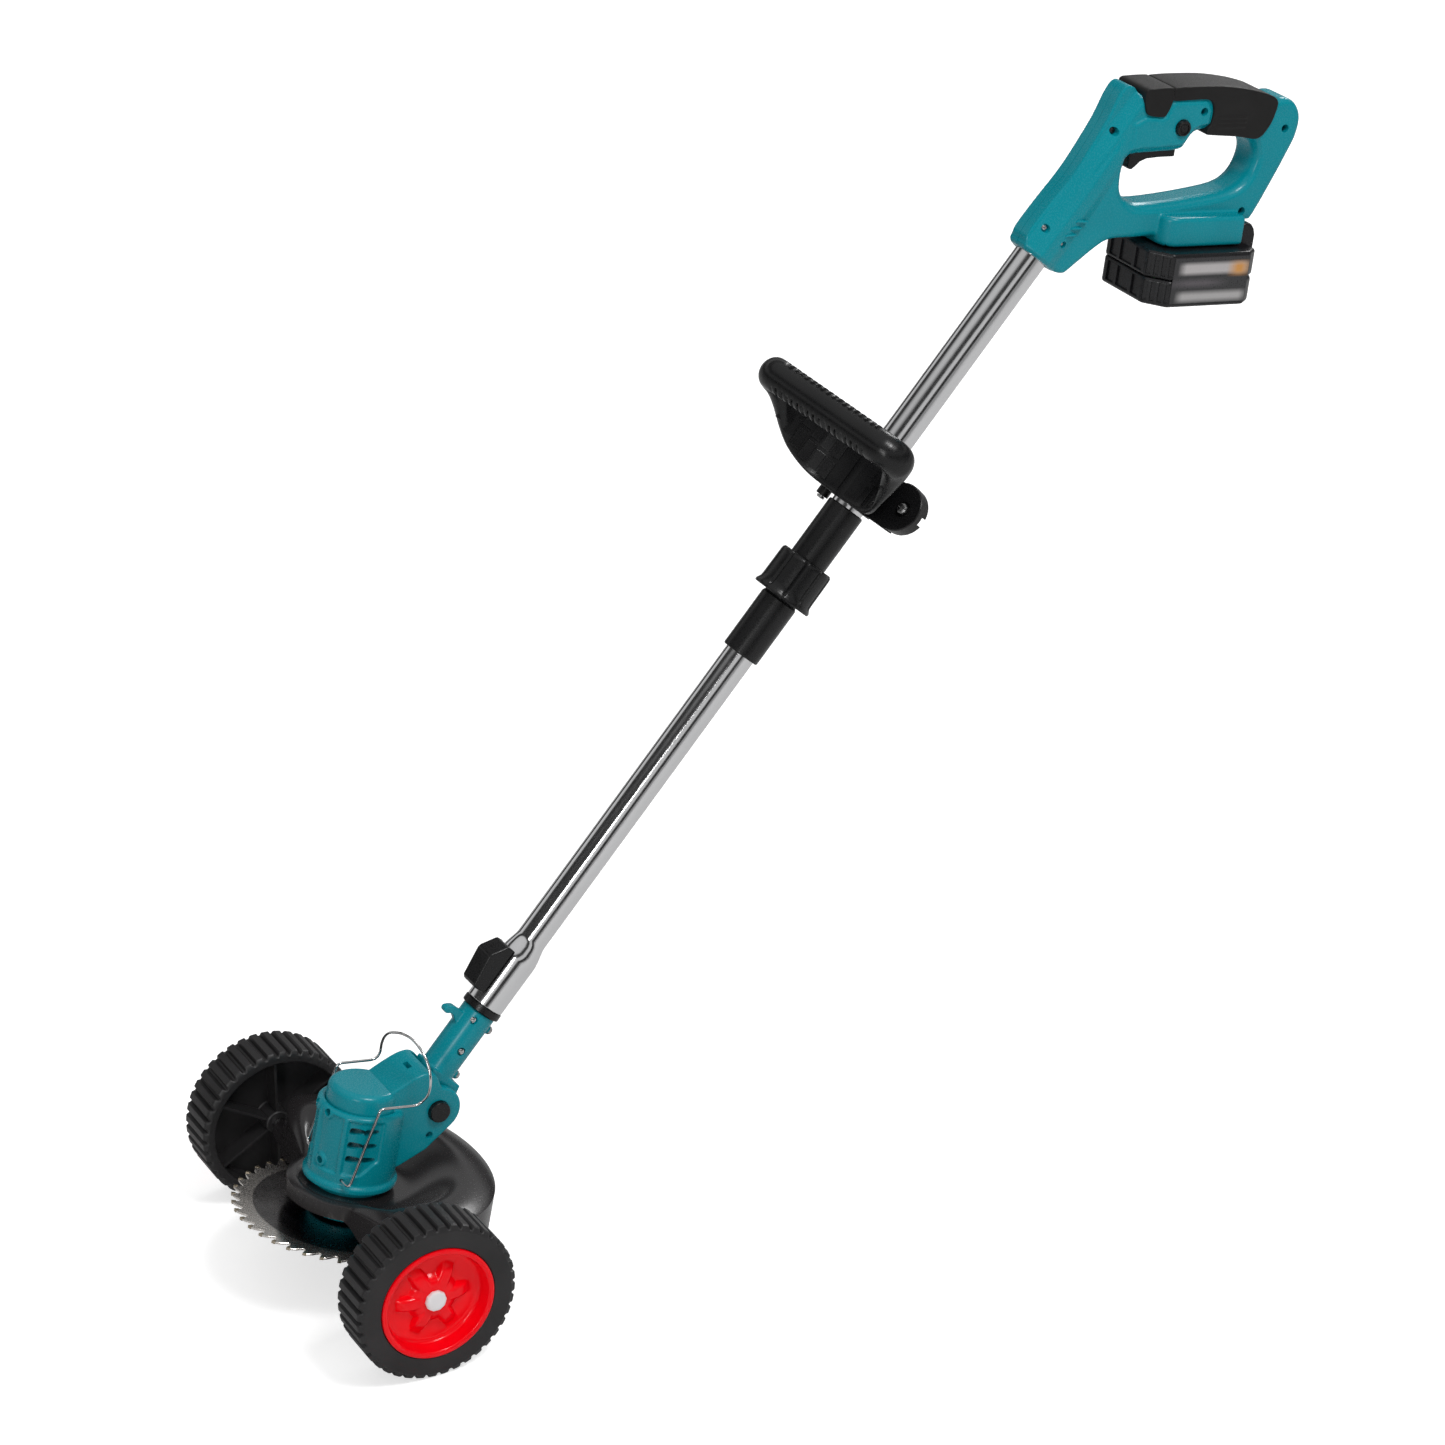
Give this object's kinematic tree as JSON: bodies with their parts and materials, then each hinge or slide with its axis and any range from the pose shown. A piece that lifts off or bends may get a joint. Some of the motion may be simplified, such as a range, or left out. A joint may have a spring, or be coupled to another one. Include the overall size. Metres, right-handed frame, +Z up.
{
  "type": "cordless lawn edger",
  "caption": "Cordless lawn edger: battery handle, telescoping pole with a clamped loop handle, and a tilting motor head with a saw blade, a shield and side wheels.",
  "frame": {"origin": "centre of the bounding box at ground level, under the middle of the tool", "axes": "+Z up, -Y forward towards the saw blade, +X towards the tool's right side as seen from behind it; longest along Y"},
  "size_m": [0.3412, 0.9395, 0.8741],
  "materials": {
    "teal_plastic": "satin moulded plastic",
    "black_plastic": "satin moulded plastic",
    "gloss_black": "glossy moulded plastic",
    "soft_grip": "matte soft-touch rubber",
    "wheel_rubber": "matte rubber",
    "red_hub": "glossy moulded plastic",
    "polished_tube": "polished",
    "blade_steel": "brushed",
    "fastener_steel": "zinc plated",
    "chrome_wire": "chrome plated",
    "grey_nylon": "natural nylon",
    "cell_wrap": "shrink wrap"
  },
  "bodies": {
    "upper_assembly": {"handle_shell_right": "teal_plastic", "handle_shell_left": "teal_plastic", "handle_screw_1": "fastener_steel", "handle_screw_2": "fastener_steel", "handle_screw_3": "fastener_steel", "handle_screw_4": "fastener_steel", "grip_sleeve": "soft_grip", "thumb_pad": "soft_grip", "switch_body": "black_plastic", "trigger_spring": "fastener_steel", "terminal_block": "black_plastic", "upper_tube": "polished_tube", "pole_sleeve": "black_plastic", "clamp_bush": "grey_nylon", "power_lead_upper": "black_plastic"},
    "trigger": {"trigger": "black_plastic"},
    "lock_off": {"lock_off_button": "black_plastic"},
    "battery": {"battery_tray": "black_plastic", "battery_lid": "black_plastic", "battery_cells": "cell_wrap"},
    "battery_release": {"battery_release": "teal_plastic"},
    "twist_collar": {"twist_collar": "black_plastic"},
    "lower_pole": {"lower_tube": "polished_tube", "socket_ring": "black_plastic"},
    "head_release": {"head_release_button": "black_plastic"},
    "neck": {"neck_shell_right": "teal_plastic", "neck_shell_left": "teal_plastic", "neck_bolt_upper": "fastener_steel", "neck_bolt_lower": "fastener_steel", "neck_screw": "fastener_steel", "power_lead_lower": "black_plastic"},
    "motor_head": {"motor_housing_right": "teal_plastic", "motor_housing_left": "teal_plastic", "motor_cap": "teal_plastic", "motor_can": "fastener_steel", "bearing_lower": "fastener_steel", "bearing_upper": "fastener_steel", "lower_collar": "teal_plastic", "blade_shield": "gloss_black", "axle_bolt_right": "fastener_steel", "axle_bolt_left": "fastener_steel", "pivot_bolt": "fastener_steel", "pivot_spring": "fastener_steel"},
    "pivot_lock": {"pivot_lock_button": "black_plastic"},
    "blade": {"motor_shaft": "fastener_steel", "blade_flange": "fastener_steel", "blade_nut": "fastener_steel", "saw_blade": "blade_steel"},
    "wheel_right": {"wheel_right": "wheel_rubber", "hub_right": "red_hub"},
    "wheel_left": {"wheel_left": "wheel_rubber", "hub_left": "red_hub"},
    "wire_guard": {"wire_guard": "chrome_wire"},
    "loop_handle": {"loop_handle": "black_plastic", "clamp_pin": "fastener_steel", "clamp_screw": "fastener_steel"},
    "clamp_jaw": {"clamp_jaw": "black_plastic"}
  },
  "joints": [
    {"name": "trigger_pull", "type": "slide", "parent": "upper_assembly", "child": "trigger", "axis": [0, 0.1361, 0.9907], "range_m": [0, 0.005], "stiffness_N_per_m": 250, "springref_m": -0.002, "deforming": ["trigger_spring"]},
    {"name": "lock_off_press", "type": "slide", "parent": "upper_assembly", "child": "lock_off", "axis": [1, 0, 0], "range_m": [-0.003, 0.003], "stiffness_N_per_m": 250},
    {"name": "battery_slide", "type": "slide", "parent": "upper_assembly", "child": "battery", "axis": [0, 0.9907, -0.1361], "range_m": [0, 0.075]},
    {"name": "battery_release_press", "type": "slide", "parent": "battery", "child": "battery_release", "axis": [0, -0.9907, 0.1361], "range_m": [0, 0.0025], "stiffness_N_per_m": 250, "springref_m": -0.001},
    {"name": "collar_twist", "type": "hinge", "parent": "upper_assembly", "child": "twist_collar", "pos_m": [0, 0.02163, 0.51454], "axis": [0, 0.6719, 0.7407], "range_deg": [0, 90]},
    {"name": "pole_telescope", "type": "slide", "parent": "upper_assembly", "child": "lower_pole", "axis": [0, 0.6719, 0.7407], "range_m": [-0.05, 0.2]},
    {"name": "head_release_press", "type": "slide", "parent": "lower_pole", "child": "head_release", "axis": [0, 0.7407, -0.6719], "range_m": [0, 0.0015], "stiffness_N_per_m": 250, "springref_m": -0.001},
    {"name": "neck_swivel", "type": "hinge", "parent": "lower_pole", "child": "neck", "pos_m": [0, -0.24577, 0.21975], "axis": [0, 0.6719, 0.7407], "range_deg": [-90, 90]},
    {"name": "head_tilt", "type": "hinge", "parent": "neck", "child": "motor_head", "pos_m": [0, -0.30763, 0.13815], "axis": [1, 0, 0], "range_deg": [-5, 31]},
    {"name": "pivot_lock_press", "type": "slide", "parent": "motor_head", "child": "pivot_lock", "axis": [-1, 0, 0], "range_m": [0, 0.0018], "stiffness_N_per_m": 250, "springref_m": -0.001},
    {"name": "blade_spin", "type": "hinge", "parent": "motor_head", "child": "blade", "pos_m": [0, -0.38255, 0.0577], "axis": [0, 0.2033, 0.9791], "continuous": true},
    {"name": "wheel_spin_right", "type": "hinge", "parent": "motor_head", "child": "wheel_right", "pos_m": [0.148, -0.37985, 0.0665], "axis": [1, 0, 0], "continuous": true},
    {"name": "wheel_spin_left", "type": "hinge", "parent": "motor_head", "child": "wheel_left", "pos_m": [-0.148, -0.37985, 0.0665], "axis": [1, 0, 0], "continuous": true},
    {"name": "guard_swing", "type": "hinge", "parent": "motor_head", "child": "wire_guard", "pos_m": [0, -0.39457, 0.10309], "axis": [1, 0, 0], "range_deg": [0, 95]},
    {"name": "loop_slide", "type": "slide", "parent": "upper_assembly", "child": "loop_handle", "axis": [0, 0.6719, 0.7407], "range_m": [0, 0.15]},
    {"name": "jaw_open", "type": "hinge", "parent": "loop_handle", "child": "clamp_jaw", "pos_m": [-0.02457, 0.07811, 0.58954], "axis": [0, 0.6719, 0.7407], "range_deg": [0, 60]}
  ]
}
